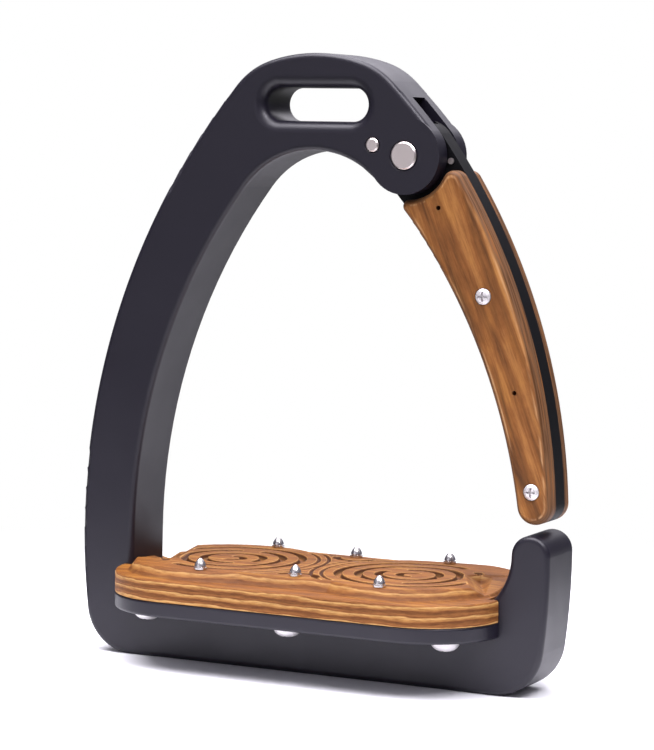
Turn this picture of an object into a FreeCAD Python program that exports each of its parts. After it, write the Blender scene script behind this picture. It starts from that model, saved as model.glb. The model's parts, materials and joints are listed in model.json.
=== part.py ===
"""Safety stirrup iron with a spring-closed outer arm and a wooden tread pad.

Millimetres. +Z is up, X runs across the foot, -Y is the front. The origin is on the ground,
under the middle of the leather slot, halfway through the frame's depth.

The frame is one machined piece: leg, arch, leather slot, forked knuckle, base, post and tread
platform. The arm hinges on the knuckle's pin and closes down to the post. It is a metal core
between two wooden cheeks. A torsion spring in the core's hub pulls it shut on the stop pin.
"""
import FreeCAD, Part
import math
import os
from FreeCAD import Vector

# ---- frame, front view ------------------------------------------------------------------
FRAME_HEIGHT = 183.0
FRAME_HALF_WIDTH = 76.7
FRAME_DEPTH = 20.0
FRAME_EDGE_ROUND = 1.6
OUTER_WAIST_Z = 38.0           # where the outer side stands upright
CROWN_RADIUS = 50.0
SHOULDER_RADIUS = 24.0
SHOULDER_HALF_SPAN = 7.7       # middle of the frame to each shoulder arc's centre
CORNER_RADIUS = 15.0
FLOOR_CORNER_RADIUS = 2.2      # inside corners, hidden in the platform
LEG_THICKNESS = 17.7           # at the waist
INNER_WAIST_Z = 36.0
INNER_CROWN_RADIUS = 28.5
TOP_THICKNESS = 28.3           # arch's height over the foot opening, slot included

# ---- leather slot ------------------------------------------------------------------------
SLOT_LENGTH = 33.0
SLOT_HEIGHT = 9.8
SLOT_BELOW_TOP = 14.9          # top of the frame down to the slot's middle
SLOT_EDGE_ROUND = 3.4

# ---- knuckle -----------------------------------------------------------------------------
PIVOT_BELOW_TOP = 29.3
KNUCKLE_RADIUS = 11.2          # round end of both ears
KNUCKLE_PROUD = 1.3            # knuckle past the side arc
KNUCKLE_RUN_IN = 13.0          # degrees of the inner crown skipped by the run to the knuckle
HUB_RADIUS = 11.0              # round end of the arm, between the ears
CLEVIS_WIDTH = 8.4
CLEVIS_REACH = 13.7            # pivot up the limb to the gap's end wall
PIVOT_PIN_RADIUS = 4.0
PIN_FIT = 0.03                 # radial clearance of the pins in the ears
HUB_FIT = 0.06                 # radial clearance of the hub on its pin
PIN_PROUD = 0.35               # pin ends past the frame's faces
PIN_CHAMFER = 0.4
PIN_MOUTH_CHAMFER = 0.5
STOP_PIN_RADIUS = 2.0
STOP_PIN_OFFSET = 10.4         # from the pivot
STOP_PIN_ANGLE = 163.8
WASHER_THICKNESS = 0.6
WASHER_RADIUS = 7.6

# ---- post --------------------------------------------------------------------------------
POST_TOP_Z = 46.9
POST_END_RADIUS = 5.9
POST_FLARE_RADIUS = 20.0
POST_FLARE_CORNER = 3.0        # softened corner where the flare starts

# ---- tread -------------------------------------------------------------------------------
BASE_HEIGHT = 16.8             # ground to the platform's underside
PLATFORM_THICKNESS = 4.7
PLATFORM_EDGE_ROUND = 0.8
TREAD_OVERLAP = 3.0            # tread's ends past the ring's inner faces
TREAD_DEPTH = 65.0
TREAD_CORNER_RADIUS = 24.0
PAD_RIM_THICKNESS = 6.4
PAD_CROWN_THICKNESS = 3.2      # carved field above the rim
PAD_DISC_OFFSET = 29.3         # pad's middle to the middle of each raised disc
PAD_DISC_MARGIN = 2.9          # rim left in front of and behind each disc
PAD_WAIST_MARGIN = 6.9         # rim left in front of and behind the field between the discs
PAD_SLOPE_WIDTH = 2.6
PAD_LEG_GAP = 0.3
PAD_EDGE_ROUND = 0.6
GROOVE_PITCH = 6.0             # between the carved rings of a disc
GROOVE_WIDTH = 2.8
GROOVE_DEPTH = 1.5
GROOVE_BRIDGE = 7.0            # uncut length that breaks each ring
GROOVE_TURN = 137.5            # degrees from one ring's bridge to the next ring's
HOOK_SWEEP = 150.0             # degrees of the arc that curls round each middle stud

# ---- studs and pad screws ----------------------------------------------------------------
STUD_SHIFT = 2.1               # fixings' middle towards the thinner post
STUD_COLUMN_INSET = 32.9       # outer columns in from the tread's ends
STUD_OUTER_MARGIN = 7.3        # outer columns' studs in from the long edges
STUD_MIDDLE_MARGIN = 11.8
STUD_COLLAR_RADIUS = 1.95
STUD_HEIGHT = 3.4
STUD_SHANK_RADIUS = 1.1
STUD_SHANK_LENGTH = 4.0
PAD_SCREW_SHIFT = 1.3
PAD_SCREW_INSET = 13.4         # outer screws in from the tread's ends
PAD_SCREW_OUTER_MARGIN = 12.2  # outer columns' screws in from the long edges
PAD_SCREW_MIDDLE_MARGIN = 9.0
PAD_SCREW_RADIUS = 2.0
PAD_SCREW_HEAD_RADIUS = 4.0
PAD_SCREW_HEAD_HEIGHT = 2.8
PAD_SCREW_BITE = 4.2           # thread in the wood
SCREW_CLEARANCE = 0.2          # radial, in a through hole
THREAD_FIT = 0.03              # radial, in a tapped or self-cut hole

# ---- arm ---------------------------------------------------------------------------------
ARM_GAP = 2.9                  # post's top to the closed arm's end
ARM_END_RADIUS = 5.3
ARM_INNER_RADIUS = 174.6
ARM_OUTER_RADIUS = 190.0
CORE_THICKNESS = 7.0
CORE_EDGE_ROUND = 0.5
CHEEK_THICKNESS = 4.75
CHEEK_EDGE_ROUND = 2.2
CHEEK_KNUCKLE_GAP = 1.5        # knuckle's round end to the cheek's hollow top
CHEEK_OUTER_CORNER = 3.4
CHEEK_INNER_CORNER = 1.8
RELIEF_RADIUS = 8.1            # hub cut back round the stop pin
ARM_TRAVEL = 85.0              # degrees from closed to fully open
STOP_CLEARANCE = 1.8           # degrees left at each stop
CHEEK_SCREW_DROP = 39.5        # upper screw below the pivot
CHEEK_SCREW_RISE = 4.2         # lower screw above the arm's end centre
CHEEK_SCREW_RADIUS = 1.5
CHEEK_SCREW_HEAD_RADIUS = 2.3
CHEEK_SCREW_HEAD_HEIGHT = 1.1
CHEEK_SCREW_RECESS = 0.5
CHEEK_SCREW_BITE = 3.0
DOWEL_DROP = 14.7              # upper pin hole below the pivot
DOWEL_RISE = 32.1              # lower pin hole above the arm's end centre
DOWEL_HOLE_RADIUS = 0.7
DOWEL_HOLE_DEPTH = 2.5

# ---- closing spring ----------------------------------------------------------------------
SPRING_WIRE_RADIUS = 0.45
SPRING_COIL_RADIUS = 6.1
SPRING_WHOLE_TURNS = 2
SPRING_PITCH = 1.3
SPRING_BOSS_RADIUS = 5.2       # core left round the pin inside the coil
SPRING_POCKET_RADIUS = 7.0
SPRING_POCKET_DEPTH = 4.8
SPRING_END_GAP = 0.2           # coil to the front of its pocket
SPRING_LEG_LENGTH = 5.6        # from the coil's wire out past the stop pin
SPRING_LEG_ROOM = 8.0          # degrees of extra relief for the leg in the front of the hub
ANCHOR_PIN_RADIUS = 0.9
ANCHOR_PIN_OFFSET = 12.2
ANCHOR_PIN_ANGLE = -6.0
ANCHOR_PIN_LENGTH = 4.0
ANCHOR_PIN_PROUD = 0.4

CROSS_WIDTH = 0.26             # cross recess, as shares of the head's radius
CROSS_REACH = 0.62
CROSS_DEPTH = 0.35


# ---- plane geometry in the front view: points are (x, z) ----------------------------------
def polar(centre, radius, degrees):
    a = math.radians(degrees)
    return (centre[0] + radius * math.cos(a), centre[1] + radius * math.sin(a))


def bearing(centre, point):
    return math.degrees(math.atan2(point[1] - centre[1], point[0] - centre[0]))


def circles_meet(c1, r1, c2, r2):
    """Both points at r1 from c1 and r2 from c2."""
    dx, dz = c2[0] - c1[0], c2[1] - c1[1]
    d = math.hypot(dx, dz)
    along = (r1 * r1 - r2 * r2 + d * d) / (2 * d)
    off = math.sqrt(r1 * r1 - along * along)
    ux, uz = dx / d, dz / d
    foot = (c1[0] + along * ux, c1[1] + along * uz)
    return ((foot[0] - off * uz, foot[1] + off * ux), (foot[0] + off * uz, foot[1] - off * ux))


def upright_arc_radius(x, z, end, end_radius):
    """Radius of an arc that stands upright at (x, z) and runs on into a smaller arc round end."""
    dx, dz = x - end[0], end[1] - z
    return (dx * dx + dz * dz - end_radius ** 2) / (2 * (dx - end_radius))


def mirrored(point):
    return (-point[0], point[1])


def vec(point, y=0.0):
    return Vector(point[0], y, point[1])


def line(a, b):
    return Part.LineSegment(vec(a), vec(b)).toShape()


def arc(centre, radius, start, end):
    """Arc round centre from one bearing to another, in degrees."""
    points = [vec(polar(centre, radius, a)) for a in (start, (start + end) / 2, end)]
    return Part.Arc(*points).toShape()


def short_arc(centre, a, b):
    """The shorter arc round centre from point a to point b."""
    start, end = bearing(centre, a), bearing(centre, b)
    while end - start > 180:
        end -= 360
    while start - end > 180:
        end += 360
    radius = math.hypot(a[0] - centre[0], a[1] - centre[1])
    return arc(centre, radius, start, end)


def plate(edges, y_low, y_high):
    """Solid between two depths with the outline that the edges close."""
    face = Part.Face(Part.Wire(Part.__sortEdges__(edges)))
    face.translate(Vector(0, y_low, 0))
    return face.extrude(Vector(0, y_high - y_low, 0))


def disc(centre, radius, y_low, y_high):
    """Solid cylinder along Y."""
    return Part.makeCylinder(radius, y_high - y_low, vec(centre, y_low), Vector(0, 1, 0))


def post_between(x, y, radius, z_low, z_high):
    """Solid cylinder along Z."""
    return Part.makeCylinder(radius, z_high - z_low, Vector(x, y, z_low), Vector(0, 0, 1))


def edges_where(shape, test):
    return [e for e in shape.Edges if test(e)]


def lies_at_y(edge, y):
    box = edge.BoundBox
    return abs(box.YMin - y) < 1e-4 and abs(box.YMax - y) < 1e-4


def lies_at_z(edge, z):
    box = edge.BoundBox
    return abs(box.ZMin - z) < 1e-4 and abs(box.ZMax - z) < 1e-4


def one_solid(shape):
    """The single solid of a boolean's result, with its split faces joined."""
    solids = shape.removeSplitter().Solids
    if len(solids) != 1:
        raise ValueError("expected one solid, got %d" % len(solids))
    return solids[0]


# ---- places that several pieces share ------------------------------------------------------
HALF_DEPTH = FRAME_DEPTH / 2
INNER_HALF_WIDTH = FRAME_HALF_WIDTH - LEG_THICKNESS
CROWN_CENTRE = (0.0, FRAME_HEIGHT - CROWN_RADIUS)
SHOULDER = (SHOULDER_HALF_SPAN, CROWN_CENTRE[1] + math.sqrt(
    (CROWN_RADIUS - SHOULDER_RADIUS) ** 2 - SHOULDER_HALF_SPAN ** 2))
INNER_CROWN = (0.0, FRAME_HEIGHT - TOP_THICKNESS - INNER_CROWN_RADIUS)
OUTER_SIDE_RADIUS = upright_arc_radius(FRAME_HALF_WIDTH, OUTER_WAIST_Z, SHOULDER, SHOULDER_RADIUS)
INNER_SIDE_RADIUS = upright_arc_radius(INNER_HALF_WIDTH, INNER_WAIST_Z, INNER_CROWN, INNER_CROWN_RADIUS)
OUTER_CENTRE = (FRAME_HALF_WIDTH - OUTER_SIDE_RADIUS, OUTER_WAIST_Z)
INNER_CENTRE = (INNER_HALF_WIDTH - INNER_SIDE_RADIUS, INNER_WAIST_Z)


def on_outer_arc(z, inset):
    """Point at height z that lies inset inside the right outer side arc."""
    reach = OUTER_SIDE_RADIUS - inset
    return (OUTER_CENTRE[0] + math.sqrt(reach ** 2 - (z - OUTER_WAIST_Z) ** 2), z)


PIVOT = on_outer_arc(FRAME_HEIGHT - PIVOT_BELOW_TOP, KNUCKLE_RADIUS - KNUCKLE_PROUD)
STOP_PIN = polar(PIVOT, STOP_PIN_OFFSET, STOP_PIN_ANGLE)
ANCHOR_PIN = polar(PIVOT, ANCHOR_PIN_OFFSET, ANCHOR_PIN_ANGLE)
SLOT_CENTRE_Z = FRAME_HEIGHT - SLOT_BELOW_TOP
PLATFORM_TOP = BASE_HEIGHT + PLATFORM_THICKNESS
TREAD_LENGTH = 2 * (INNER_HALF_WIDTH + TREAD_OVERLAP)
PAD_RIM_Z = PLATFORM_TOP + PAD_RIM_THICKNESS
PAD_TOP_Z = PAD_RIM_Z + PAD_CROWN_THICKNESS
PAD_DISC_RADIUS = TREAD_DEPTH / 2 - PAD_DISC_MARGIN
PAD_WAIST = TREAD_DEPTH / 2 - PAD_WAIST_MARGIN
GROOVE_RINGS = int((PAD_DISC_RADIUS - PAD_SLOPE_WIDTH - GROOVE_WIDTH) / GROOVE_PITCH)
STUD_OUTER_ROW = TREAD_DEPTH / 2 - STUD_OUTER_MARGIN
STUD_MIDDLE_ROW = TREAD_DEPTH / 2 - STUD_MIDDLE_MARGIN
PAD_SCREW_OUTER_ROW = TREAD_DEPTH / 2 - PAD_SCREW_OUTER_MARGIN
PAD_SCREW_MIDDLE_ROW = TREAD_DEPTH / 2 - PAD_SCREW_MIDDLE_MARGIN
CORE_HALF = CORE_THICKNESS / 2
ARM_HALF = CORE_HALF + CHEEK_THICKNESS
SPRING_FLOOR = SPRING_POCKET_DEPTH - CORE_HALF      # depth of the pocket's floor, from the middle
STUD_PLACES = [(STUD_SHIFT + column * (TREAD_LENGTH / 2 - STUD_COLUMN_INSET), side * row)
               for column, row in ((-1, STUD_OUTER_ROW), (0, STUD_MIDDLE_ROW), (1, STUD_OUTER_ROW))
               for side in (-1, 1)]
PAD_SCREW_PLACES = [(PAD_SCREW_SHIFT + column * (TREAD_LENGTH / 2 - PAD_SCREW_INSET), side * row)
                    for column, row in ((-1, PAD_SCREW_OUTER_ROW), (0, PAD_SCREW_MIDDLE_ROW),
                                        (1, PAD_SCREW_OUTER_ROW))
                    for side in (-1, 1)]


ARM_END = on_outer_arc(POST_TOP_Z + ARM_GAP + ARM_END_RADIUS, ARM_END_RADIUS)
ARM_INNER_CENTRE = min(circles_meet(PIVOT, ARM_INNER_RADIUS + HUB_RADIUS,
                                    ARM_END, ARM_INNER_RADIUS + ARM_END_RADIUS))
ARM_OUTER_CENTRE = min(circles_meet(PIVOT, ARM_OUTER_RADIUS - HUB_RADIUS,
                                    ARM_END, ARM_OUTER_RADIUS - ARM_END_RADIUS))


FLOOR_Z = BASE_HEIGHT + PLATFORM_THICKNESS / 2      # the ring's floor, inside the platform
LIMB_LEAN = bearing(OUTER_CENTRE, PIVOT)
SPRING_LEG_ANGLE = STOP_PIN_ANGLE - math.degrees(math.asin(
    (STOP_PIN_RADIUS + SPRING_WIRE_RADIUS + 0.02) / STOP_PIN_OFFSET))


CHEEK_SCREW_HEIGHTS = (PIVOT[1] - CHEEK_SCREW_DROP, ARM_END[1] + CHEEK_SCREW_RISE)
DOWEL_HEIGHTS = (PIVOT[1] - DOWEL_DROP, ARM_END[1] + DOWEL_RISE)


def arm_middle(z):
    """Point halfway across the arm at height z."""
    inner = ARM_INNER_CENTRE[0] + math.sqrt(ARM_INNER_RADIUS ** 2 - (z - ARM_INNER_CENTRE[1]) ** 2)
    outer = ARM_OUTER_CENTRE[0] + math.sqrt(ARM_OUTER_RADIUS ** 2 - (z - ARM_OUTER_CENTRE[1]) ** 2)
    return ((inner + outer) / 2, z)


# ---- frame -----------------------------------------------------------------------------------
def shoulder_end(side_centre, shoulder):
    """Where the shoulder arc runs into a long side arc."""
    return polar(side_centre, OUTER_SIDE_RADIUS, bearing(side_centre, shoulder))


def left_outline():
    """Leg side of the outline, from the middle of the base up to the top's middle."""
    shoulder = mirrored(SHOULDER)
    outer_centre, inner_foot = mirrored(OUTER_CENTRE), (-INNER_HALF_WIDTH, INNER_WAIST_Z)
    crown_end = mirrored(polar(CROWN_CENTRE, CROWN_RADIUS, bearing(CROWN_CENTRE, SHOULDER)))
    side_top = shoulder_end(outer_centre, shoulder)
    corner = mirrored(on_outer_arc(CORNER_RADIUS, CORNER_RADIUS))
    side_foot = polar(outer_centre, OUTER_SIDE_RADIUS, bearing(outer_centre, corner))
    arch_end = polar(mirrored(INNER_CENTRE), INNER_SIDE_RADIUS,
                     bearing(mirrored(INNER_CENTRE), INNER_CROWN))
    return [
        line((0, 0), (corner[0], 0)),
        short_arc(corner, (corner[0], 0), side_foot),
        short_arc(outer_centre, side_foot, side_top),
        short_arc(shoulder, side_top, crown_end),
        short_arc(CROWN_CENTRE, crown_end, (0, FRAME_HEIGHT)),
        line((0, FLOOR_Z), (-INNER_HALF_WIDTH, FLOOR_Z)),
        line((-INNER_HALF_WIDTH, FLOOR_Z), inner_foot),
        short_arc(mirrored(INNER_CENTRE), inner_foot, arch_end),
        short_arc(INNER_CROWN, arch_end, (0, INNER_CROWN[1] + INNER_CROWN_RADIUS)),
    ]


def knuckle_outline():
    """Arch from the top's middle over the round knuckle and back to the inner crown."""
    crown_end = polar(CROWN_CENTRE, CROWN_RADIUS, bearing(CROWN_CENTRE, SHOULDER))
    centre = min(circles_meet(SHOULDER, OUTER_SIDE_RADIUS - SHOULDER_RADIUS,
                              PIVOT, OUTER_SIDE_RADIUS - KNUCKLE_RADIUS))
    side_top = shoulder_end(centre, SHOULDER)
    outer_turn = bearing(centre, PIVOT)
    run_in = polar(INNER_CROWN, INNER_CROWN_RADIUS, bearing(INNER_CROWN, PIVOT) + KNUCKLE_RUN_IN)
    apart = math.hypot(run_in[0] - PIVOT[0], run_in[1] - PIVOT[1])
    inner_turn = bearing(PIVOT, run_in) + math.degrees(math.acos(KNUCKLE_RADIUS / apart))
    return [
        short_arc(CROWN_CENTRE, (0, FRAME_HEIGHT), crown_end),
        short_arc(SHOULDER, crown_end, side_top),
        short_arc(centre, side_top, polar(PIVOT, KNUCKLE_RADIUS, outer_turn)),
        arc(PIVOT, KNUCKLE_RADIUS, outer_turn, inner_turn % 360 - 360),
        line(polar(PIVOT, KNUCKLE_RADIUS, inner_turn), run_in),
        short_arc(INNER_CROWN, run_in, (0, INNER_CROWN[1] + INNER_CROWN_RADIUS)),
    ]


def post_outline():
    """Right side of the base with the round-topped post."""
    corner = on_outer_arc(CORNER_RADIUS, CORNER_RADIUS)
    side_foot = polar(OUTER_CENTRE, OUTER_SIDE_RADIUS, bearing(OUTER_CENTRE, corner))
    post = on_outer_arc(POST_TOP_Z - POST_END_RADIUS, POST_END_RADIUS)
    post_turn = bearing(OUTER_CENTRE, post)
    post_inner = (post[0] - POST_END_RADIUS, post[1])
    flare = (post_inner[0] - POST_FLARE_RADIUS, post[1])
    drop = math.sqrt(POST_FLARE_RADIUS ** 2 - (INNER_HALF_WIDTH - flare[0]) ** 2)
    flare_foot = (INNER_HALF_WIDTH, flare[1] - drop)
    return [
        line((0, 0), (corner[0], 0)),
        short_arc(corner, (corner[0], 0), side_foot),
        short_arc(OUTER_CENTRE, side_foot, polar(OUTER_CENTRE, OUTER_SIDE_RADIUS, post_turn)),
        arc(post, POST_END_RADIUS, post_turn, 180),
        short_arc(flare, post_inner, flare_foot),
        line(flare_foot, (INNER_HALF_WIDTH, FLOOR_Z)),
        line((INNER_HALF_WIDTH, FLOOR_Z), (0, FLOOR_Z)),
    ]


def rounded_rectangle(length, depth, radius, z):
    """Closed wire at height z, centred on the tread."""
    hx, hy = length / 2, depth / 2
    edges = []
    for sx, sy, start in ((1, 1, 0), (-1, 1, 90), (-1, -1, 180), (1, -1, 270)):
        cx, cy = sx * (hx - radius), sy * (hy - radius)
        points = [Vector(cx + radius * math.cos(math.radians(start + a)),
                         cy + radius * math.sin(math.radians(start + a)), z) for a in (0, 45, 90)]
        edges.append((points, Part.Arc(*points).toShape()))
    wire = []
    for i, (points, edge) in enumerate(edges):
        wire += [edge, Part.LineSegment(points[2], edges[(i + 1) % 4][0][0]).toShape()]
    return Part.Wire(wire)


def tread_slab(z_low, z_high, edge_round):
    """Plate of the tread's plan outline with softened edges."""
    outline = rounded_rectangle(TREAD_LENGTH, TREAD_DEPTH, TREAD_CORNER_RADIUS, z_low)
    slab = Part.Face(outline).extrude(Vector(0, 0, z_high - z_low))
    rims = edges_where(slab, lambda e: lies_at_z(e, z_low) or lies_at_z(e, z_high))
    return slab.makeFillet(edge_round, rims)


def leather_slot():
    """Cutter for the round-ended slot that the stirrup leather passes through."""
    half, r = SLOT_LENGTH / 2 - SLOT_HEIGHT / 2, SLOT_HEIGHT / 2
    z = SLOT_CENTRE_Z
    edges = [line((-half, z - r), (half, z - r)), arc((half, z), r, -90, 90),
             line((half, z + r), (-half, z + r)), arc((-half, z), r, 90, 270)]
    return plate(edges, -FRAME_DEPTH, FRAME_DEPTH)


def slot_edges(shape):
    """The slot's rims on the frame's two faces."""
    def on_rim(edge):
        box = edge.BoundBox
        inside = abs(box.Center.x) < SLOT_LENGTH / 2 and abs(box.Center.z - SLOT_CENTRE_Z) < SLOT_HEIGHT
        return inside and (lies_at_y(edge, -HALF_DEPTH) or lies_at_y(edge, HALF_DEPTH))
    return edges_where(shape, on_rim)


def clevis_cutter():
    """Gap between the ears, open to both sides and square to the limb at its end."""
    across = 3 * KNUCKLE_RADIUS
    gap = Part.makeBox(across, CLEVIS_WIDTH, CLEVIS_REACH + across,
                       Vector(-across / 2, -CLEVIS_WIDTH / 2, -across))
    gap.rotate(Vector(0, 0, 0), Vector(0, -1, 0), LIMB_LEAN)
    gap.translate(vec(PIVOT))
    return gap


def pin_hole(place, radius):
    """Cross hole through both ears with a small chamfer at each face."""
    hole = disc(place, radius + PIN_FIT, -FRAME_DEPTH, FRAME_DEPTH)
    mouth = radius + PIN_FIT + PIN_MOUTH_CHAMFER
    for side in (-1, 1):
        cone = Part.makeCone(mouth, radius + PIN_FIT, PIN_MOUTH_CHAMFER,
                             vec(place, side * HALF_DEPTH), Vector(0, -side, 0))
        hole = hole.fuse(cone)
    return hole


def upright_corners(shape, x, z_low, z_high):
    """Edges through the depth that stand at x between two heights."""
    return edges_where(shape, lambda e: e.BoundBox.YLength > HALF_DEPTH
                       and abs(e.CenterOfMass.x - x) < 1e-3 and z_low < e.CenterOfMass.z < z_high)


def make_frame():
    body = plate(left_outline() + knuckle_outline() + post_outline(), -HALF_DEPTH, HALF_DEPTH)
    body = body.removeSplitter()
    for x in (-INNER_HALF_WIDTH, INNER_HALF_WIDTH):
        body = body.makeFillet(FLOOR_CORNER_RADIUS, upright_corners(body, x, 0, PLATFORM_TOP))
    body = body.makeFillet(POST_FLARE_CORNER,
                           upright_corners(body, INNER_HALF_WIDTH, PLATFORM_TOP, POST_TOP_Z))
    rims = edges_where(body, lambda e: lies_at_y(e, -HALF_DEPTH) or lies_at_y(e, HALF_DEPTH))
    body = body.makeFillet(FRAME_EDGE_ROUND, rims)
    body = body.fuse(disc(PIVOT, KNUCKLE_RADIUS, -HALF_DEPTH, HALF_DEPTH))
    body = body.cut(leather_slot())
    body = body.makeFillet(SLOT_EDGE_ROUND, slot_edges(body))
    body = body.fuse(tread_slab(BASE_HEIGHT, PLATFORM_TOP, PLATFORM_EDGE_ROUND))
    body = body.cut(clevis_cutter())
    body = body.cut(pin_hole(PIVOT, PIVOT_PIN_RADIUS))
    body = body.cut(pin_hole(STOP_PIN, STOP_PIN_RADIUS))
    for x, y in PAD_SCREW_PLACES:
        body = body.cut(post_between(x, y, PAD_SCREW_RADIUS + SCREW_CLEARANCE, 0, PAD_TOP_Z))
    return one_solid(body)


def ear_pin(place, radius):
    """Steel cross pin, chamfered and a little proud of both faces."""
    half = HALF_DEPTH + PIN_PROUD
    pin = disc(place, radius, -half, half)
    ends = edges_where(pin, lambda e: lies_at_y(e, -half) or lies_at_y(e, half))
    return pin.makeChamfer(PIN_CHAMFER, ends)


def thrust_washer(side):
    """Thin washer between the hub and one ear."""
    middle = side * (CORE_HALF + CLEVIS_WIDTH / 2) / 2
    low, high = middle - WASHER_THICKNESS / 2, middle + WASHER_THICKNESS / 2
    return disc(PIVOT, WASHER_RADIUS, low, high).cut(
        disc(PIVOT, PIVOT_PIN_RADIUS + HUB_FIT, low - 1, high + 1))


# ---- arm ---------------------------------------------------------------------------------------
def arm_outline():
    """The arm's front outline: round hub, long outer arc, round end, long inner arc."""
    outer_hub, outer_end = bearing(ARM_OUTER_CENTRE, PIVOT), bearing(ARM_OUTER_CENTRE, ARM_END)
    inner_hub, inner_end = bearing(ARM_INNER_CENTRE, PIVOT), bearing(ARM_INNER_CENTRE, ARM_END)
    return [
        arc(PIVOT, HUB_RADIUS, outer_hub, inner_hub + 180),
        arc(ARM_OUTER_CENTRE, ARM_OUTER_RADIUS, outer_hub, outer_end),
        arc(ARM_END, ARM_END_RADIUS, outer_end, inner_end - 180),
        arc(ARM_INNER_CENTRE, ARM_INNER_RADIUS, inner_end, inner_hub),
    ]


def stop_relief():
    """Cutter that frees the hub round the stop pin and the spring's fixed leg over the travel."""
    half_pin = math.degrees(math.asin(STOP_PIN_RADIUS / STOP_PIN_OFFSET))
    tail = STOP_PIN_ANGLE - half_pin - STOP_CLEARANCE - ARM_TRAVEL
    shoulder = STOP_PIN_ANGLE + half_pin + STOP_CLEARANCE
    far = HUB_RADIUS * 2
    sectors = []
    for near, start, y_high in ((RELIEF_RADIUS, tail, ARM_HALF),
                                (SPRING_BOSS_RADIUS, tail - SPRING_LEG_ROOM, SPRING_FLOOR)):
        edges = [arc(PIVOT, near, start, shoulder), arc(PIVOT, far, start, shoulder)]
        edges += [line(polar(PIVOT, near, a), polar(PIVOT, far, a)) for a in (start, shoulder)]
        sectors.append(plate(edges, -ARM_HALF, y_high))
    return sectors[0].fuse(sectors[1])


def spring_pocket():
    """Ring-shaped pocket in the hub's front face, with a groove out to the anchor pin."""
    pocket = disc(PIVOT, SPRING_POCKET_RADIUS, -ARM_HALF, SPRING_FLOOR).cut(
        disc(PIVOT, SPRING_BOSS_RADIUS, -FRAME_DEPTH, FRAME_DEPTH))
    width = 2 * SPRING_WIRE_RADIUS + 0.4
    groove = Part.makeBox(ANCHOR_PIN_OFFSET - SPRING_COIL_RADIUS, ARM_HALF - CORE_HALF + 2 * width, width,
                          Vector(SPRING_COIL_RADIUS, -ARM_HALF, -width / 2))
    groove.rotate(Vector(0, 0, 0), Vector(0, -1, 0), ANCHOR_PIN_ANGLE)
    groove.translate(vec(PIVOT))
    return pocket.fuse(groove)


def make_arm_core():
    core = plate(arm_outline(), -CORE_HALF, CORE_HALF)
    core = core.cut(stop_relief())
    core = core.cut(disc(PIVOT, PIVOT_PIN_RADIUS + HUB_FIT, -ARM_HALF, ARM_HALF))
    core = core.cut(spring_pocket())
    core = core.cut(disc(ANCHOR_PIN, ANCHOR_PIN_RADIUS + THREAD_FIT, -ARM_HALF,
                         ANCHOR_PIN_LENGTH - ANCHOR_PIN_PROUD - CORE_HALF))
    for z in CHEEK_SCREW_HEIGHTS:
        core = core.cut(disc(arm_middle(z), CHEEK_SCREW_RADIUS + THREAD_FIT, -ARM_HALF, ARM_HALF))
    return one_solid(core)


def make_cheek(side):
    """Wooden cheek on the front (side -1) or rear (side 1) of the core."""
    inner, outer = side * CORE_HALF, side * ARM_HALF
    low, high = min(inner, outer), max(inner, outer)
    hollow = KNUCKLE_RADIUS + CHEEK_KNUCKLE_GAP
    cheek = plate(arm_outline(), low, high).cut(disc(PIVOT, hollow, -ARM_HALF - 1, ARM_HALF + 1))
    upright = edges_where(cheek, lambda e: e.BoundBox.YLength > CHEEK_THICKNESS / 2)
    corners = [e for e in upright
               if abs(math.hypot(e.CenterOfMass.x - PIVOT[0], e.CenterOfMass.z - PIVOT[1]) - hollow) < 1e-3]
    corners.sort(key=lambda e: e.CenterOfMass.x)
    cheek = cheek.makeFillet(CHEEK_INNER_CORNER, [corners[0]])
    outer_corner = [e for e in cheek.Edges if e.BoundBox.YLength > CHEEK_THICKNESS / 2
                    and e.CenterOfMass.distanceToPoint(corners[-1].CenterOfMass) < 1e-3]
    cheek = cheek.makeFillet(CHEEK_OUTER_CORNER, outer_corner)
    cheek = cheek.makeFillet(CHEEK_EDGE_ROUND, edges_where(cheek, lambda e: lies_at_y(e, outer)))
    for z in CHEEK_SCREW_HEIGHTS:
        place = arm_middle(z)
        cheek = cheek.cut(disc(place, CHEEK_SCREW_RADIUS + SCREW_CLEARANCE, -FRAME_DEPTH, FRAME_DEPTH))
        seat = side * (ARM_HALF - CHEEK_SCREW_RECESS)
        cheek = cheek.cut(disc(place, CHEEK_SCREW_HEAD_RADIUS + SCREW_CLEARANCE,
                               min(seat, 2 * outer), max(seat, 2 * outer)))
    for z in DOWEL_HEIGHTS:
        floor = side * (ARM_HALF - DOWEL_HOLE_DEPTH)
        cheek = cheek.cut(disc(arm_middle(z), DOWEL_HOLE_RADIUS,
                               min(floor, 2 * outer), max(floor, 2 * outer)))
    return one_solid(cheek)


# ---- fasteners: made along +Z with the head's seat at the origin, then placed --------------------
def cross_recess(head_radius, top):
    """Cutter for a cross recess in a head whose top is at the given height."""
    width, reach = CROSS_WIDTH * head_radius, CROSS_REACH * head_radius
    depth = CROSS_DEPTH * head_radius
    bars = [Part.makeBox(2 * a, 2 * b, 2 * depth, Vector(-a, -b, top - depth))
            for a, b in ((reach, width / 2), (width / 2, reach))]
    return bars[0].fuse(bars[1])


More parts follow.
